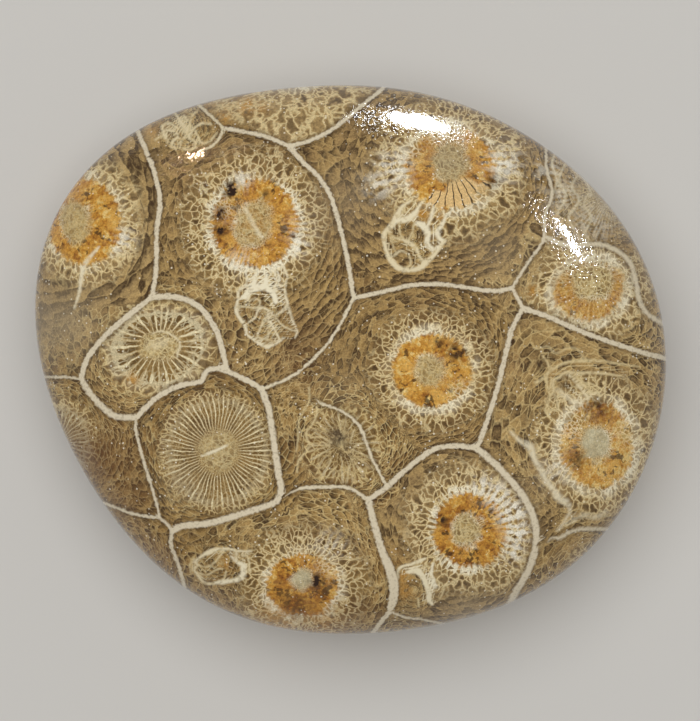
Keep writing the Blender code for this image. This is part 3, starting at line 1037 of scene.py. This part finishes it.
def rust(bench, f):
    """The rust's own colour: grains round the ring, gold washes, red and burnt places and pale segments."""
    x, y = f.angle.cosine() * f.turns * RUST_CELLS, f.angle.sine() * f.turns * RUST_CELLS
    place = bench.moved(bench.vector(x, y, f.share * f.ring / RUST_LENGTH), f.drift(5, 0.5))
    tone = bench.tone(bench.cells(place))
    level = tone * 0.5 + f.noise(4, 3) * 1.3 + f.gold * 0.25 - f.red * 0.3 - 0.35
    wash = f.noise(14, 2).steady(0.45, 0.7) * (0.25 + f.gold * 0.5)
    colour = bench.mix(wash, bench.ramp(level, RUST_STOPS), RUST_PALE)
    colour = bench.mix(f.red * f.noise(5, 2).steady(0.35, 0.6), colour, RUST_RED)
    burnt = f.noise(18) * 0.6 + bench.noise(place, 0.7, 2) * 0.5
    colour = bench.mix(burnt.steady(0.60, 0.68) * 0.8, colour, STAIN_DARK)
    sparse = (f.angle * (f.count * 0.7) + (f.noise(14) - 0.5) * 6).cosine()
    segment = bench.mix(sparse.steady(-0.98, -0.8), STAIN_DARK, RUST_SEGMENT)
    return bench.mix(f.rays.steady(0.3, 0.5), colour, segment)


def core(bench, f, colour):
    """The web in the middle of a corallite, or the smooth filling of the smoothest ones."""
    x, y, height = f.cup_x * f.ring / WEB_WIDE, f.cup_y * f.ring / WEB_WIDE, f.share * f.ring / WEB_HIGH
    web = bench.edge(bench.moved(bench.vector(x, y, height), f.drift(6, 0.6, 2)))
    zone = (f.share - f.core_share + (f.noise(7, 2) - 0.5) * 0.26).steady(-0.12, 0.08, 1, 0)
    line = web.steady(0.02, 0.2, 1, 0) * (1 - f.smooth * 0.75)
    patch = f.noise(8, 3).steady(0.35, 0.65)
    fill = bench.mix(patch, CORE_DARK, CORE_MID)
    sleek = bench.mix(f.smooth.steady(0.8, 1), CORE_TAN, CORE_GREY)
    fill = bench.mix(f.smooth * (0.6 + patch * 0.4), fill, sleek)
    return bench.mix(zone, colour, bench.mix(line, fill, CORE_PALE))


def frill_teeth(bench, f, colour):
    """Cream teeth round the ring, where a septum each ends."""
    outwards = f.beyond / 10
    tooth = (f.ray + 0.6 - outwards * 1.9 + (f.noise(5) - 0.5) * 2.2).steady(-0.1, 0.5)
    zone = f.beyond.steady(-3.0, 1.5) * outwards.steady(0.5, 1.1, 1, 0) * f.patch
    band = f.noise(5, 2).steady(0.3, 0.6, 0.5, 1) * (1 - f.teeth)
    return bench.mix((tooth * f.teeth).most(band * 0.7) * zone * f.frill, colour, FRILL)


def stained(bench, f, colour):
    blotch = f.noise(6, 2).steady(0.3, 0.6)
    streaks = (f.ray * 0.3 + f.noise(7, 3) * 3.2 - 1.5).steady(-0.35, 0.5)
    for share, stain in (
        # brown: partly the stone's brown patches, partly painted shade towards the lower left and bottom
        (f.brown * 0.55, BROWN_PATCH_AND_SHADE),
        (f.grey * 0.55, STAIN_GREY),
        ((f.white * streaks * 1.4).least(0.95), STAIN_WHITE),
        (f.amber * blotch, STAIN_AMBER),
        # dark: the stone's dark patches, and painted shade in small cavities
        ((f.dark * 1.6 * blotch).least(1), STAIN_DARK),
    ):
        colour = bench.mix(share, colour, stain)
    return colour


def walled(bench, f, colour):
    """Cream ribs and pale walls. Beside a wall the stone is a little darker."""
    rib, rib_cream = line_mask(bench, f, "rib", slim=-0.1, waver=1.1)
    rib = rib * f.noise(5, 3).steady(0.32, 0.5, 0.55, 1)
    colour = bench.mix(rib, colour, bench.mix(rib_cream, NET_CREAM, FRILL))
    shadow, _ = line_mask(bench, f, "wall", spread=2.6)
    colour = bench.mix(shadow * 0.5, colour, BUBBLE_DARK)
    wall, cream = line_mask(bench, f, "wall")
    crumbs = f.noise(2.6, 2).steady(0.3, 0.5, 0.7, 1)
    return bench.mix(wall * crumbs, colour, bench.mix(cream, WALL, WALL_CREAM))


def line_mask(bench, f, line, spread=0.0, slim=0.5, waver=1.8):
    """1 on a line and 0 off it, with uneven edges, and how cream it is. A spread gives its soft shade."""
    x, y, half = bench.field(line)
    cream, solid, blur = bench.field(line + "_looks")
    shift = bench.parts(f.drift(3.6, waver, 2))
    x, y = x + shift[0], y + shift[1]
    away = (x * x + y * y) ** 0.5 - half * 0.88 - (spread - slim)
    soft = blur + 0.9 + spread * 0.8
    return (0 - away / soft).steady(-1, 1) * solid, cream


def grained(bench, f, colour):
    """Fine grain, and painted glints: pale specks in patches."""
    grain = f.noise(GRAIN_SIZE, 3, 0.7).steady(0.2, 0.8, 0.68, 1.32)
    colour = bench.mix(1.0, colour, bench.vector(grain, grain, grain), "MULTIPLY")
    # painted glints: pale specks that stand in for tiny reflections in the polish
    cell = bench.cells(bench.scaled(f.here, 1 / PAINTED_GLINT_GAP))
    patchy = f.noise(30, 2).steady(0.42, 0.62, 0, 0.25)
    size = (bench.tone(cell) + patchy).steady(0.75, 1.1, 0, 0.27)
    painted_glint = (size - Flow(bench, cell["Distance"])).steady(0, 0.08)
    return bench.mix(painted_glint * 0.75, colour, PAINTED_GLINT_PALE)


# ---------------------------------------------------------------------------------------------------
# The stone, the floor, the lights and the camera. Lengths are in metres.
# ---------------------------------------------------------------------------------------------------
FLOOR_RADIUS = 1.2
FLOOR_PALE = rgb(206, 204, 200)
FLOOR_ROUGHNESS = 0.9
LAMP_DISTANCE = 0.6
CEILING_DISTANCE = 1.4
SKY = (0.92, 0.96, 1.0)
WARM = (1.0, 0.70, 0.48)
ROOM = (1.0, 0.97, 0.92, 1)
ROOM_STRENGTH = 0.28


def add_object(name, data):
    added = bpy.data.objects.new(name, data)
    bpy.context.scene.collection.objects.link(added)
    return added


def place_stone():
    stone = add_object("fossil_coral_surface", coral_surface())
    stone.data.materials.append(coral_material())
    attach(stone, "root")
    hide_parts("fossil_coral_head")


def place_floor():
    bm = bmesh.new()
    bmesh.ops.create_circle(bm, cap_ends=True, segments=96, radius=FLOOR_RADIUS)
    floor = add_object("floor", mesh_of(bm, "floor"))
    looks = {"Base Color": FLOOR_PALE, "Roughness": FLOOR_ROUGHNESS}
    floor.data.materials.append(Bench("pale_floor").finish(looks))


def place_light(
    name, azimuth, elevation, size, watts, distance=LAMP_DISTANCE, roll=0, tint=(1, 1, 1), mirrored=True
):
    """A soft lamp that faces the stone. It's either seen mirrored in the polish or it lights the room."""
    turn, tilt = math.radians(azimuth), math.radians(elevation)
    towards = Vector((math.cos(turn) * math.cos(tilt), math.sin(turn) * math.cos(tilt), math.sin(tilt)))
    lamp = bpy.data.lights.new(name, "AREA")
    lamp.shape = "ELLIPSE"
    lamp.size, lamp.size_y = size
    lamp.energy = watts
    lamp.color = tint
    light = add_object(name, lamp)
    light.location = Vector((0, 0, FLANK_HEIGHT)) + towards * distance
    turned = towards.to_track_quat("Z", "Y") @ Quaternion((0, 0, 1), math.radians(roll))
    light.rotation_euler = turned.to_euler()
    light.visible_glossy = mirrored
    light.visible_diffuse = not mirrored
    light.visible_camera = False


def place_lights():
    place_light("window_behind", 76.6, 9.0, (0.135, 0.185), 4.2, roll=-12, tint=SKY)
    place_light("window_right", 34, 29.8, (0.115, 0.022), 1.4, roll=-20, tint=SKY)
    place_light("warm_lamp", 120, 28, (0.027, 0.027), 0.36, tint=WARM)
    place_light("ceiling", 120, 80, (1.6, 1.6), 16, distance=CEILING_DISTANCE, mirrored=False)
    world = bpy.data.worlds.new("studio")
    world.use_nodes = True
    room = world.node_tree.nodes["Background"].inputs
    room["Color"].default_value = ROOM
    room["Strength"].default_value = ROOM_STRENGTH
    bpy.context.scene.world = world


def place_camera():
    lens = bpy.data.cameras.new("from_above")
    lens.lens = LENS
    lens.sensor_width = SENSOR
    lens.sensor_fit = "HORIZONTAL"
    lens.clip_start = 0.01
    camera = add_object("from_above", lens)
    camera.location = EYE
    bpy.context.scene.camera = camera


place_stone()
place_floor()
place_lights()
place_camera()
bpy.context.scene.view_settings.view_transform = "Standard"

bpy.context.view_layer.update()
